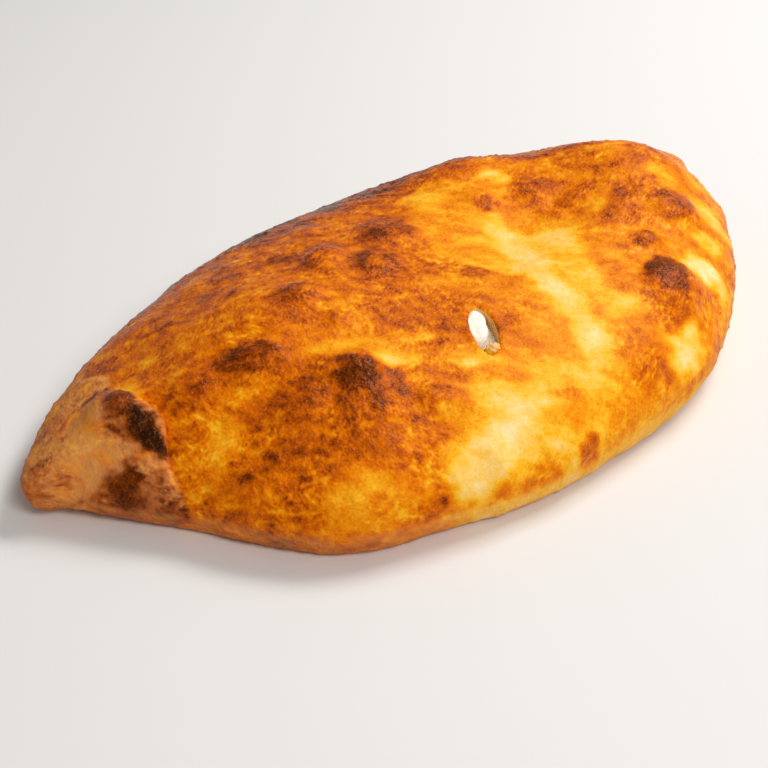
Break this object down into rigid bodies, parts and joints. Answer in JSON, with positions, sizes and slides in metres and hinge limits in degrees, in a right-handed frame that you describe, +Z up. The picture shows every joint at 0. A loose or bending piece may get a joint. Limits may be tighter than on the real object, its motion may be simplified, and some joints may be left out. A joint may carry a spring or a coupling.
{
  "type": "calzone",
  "caption": "Large baked calzone: a blistered golden-brown dough crust folded over at one end and pleated at the other, with a steam vent showing white cheese filling.",
  "frame": {"origin": "centre of the bounding box in plan, on the flat underside that rests on the plate", "axes": "+X along the calzone from its pointed folded end to its blunt pleated end, +Y towards its seam at the back, +Z up"},
  "size_m": [0.31, 0.175, 0.0541],
  "materials": {
    "crust": "baked wheat dough, golden with browned and darkly blistered places, satin with small oily highlights",
    "filling": "soft white ricotta and mozzarella filling, moist and slightly glossy"
  },
  "bodies": {
    "root": {"crust": "crust", "filling": "filling"}
  },
  "joints": []
}
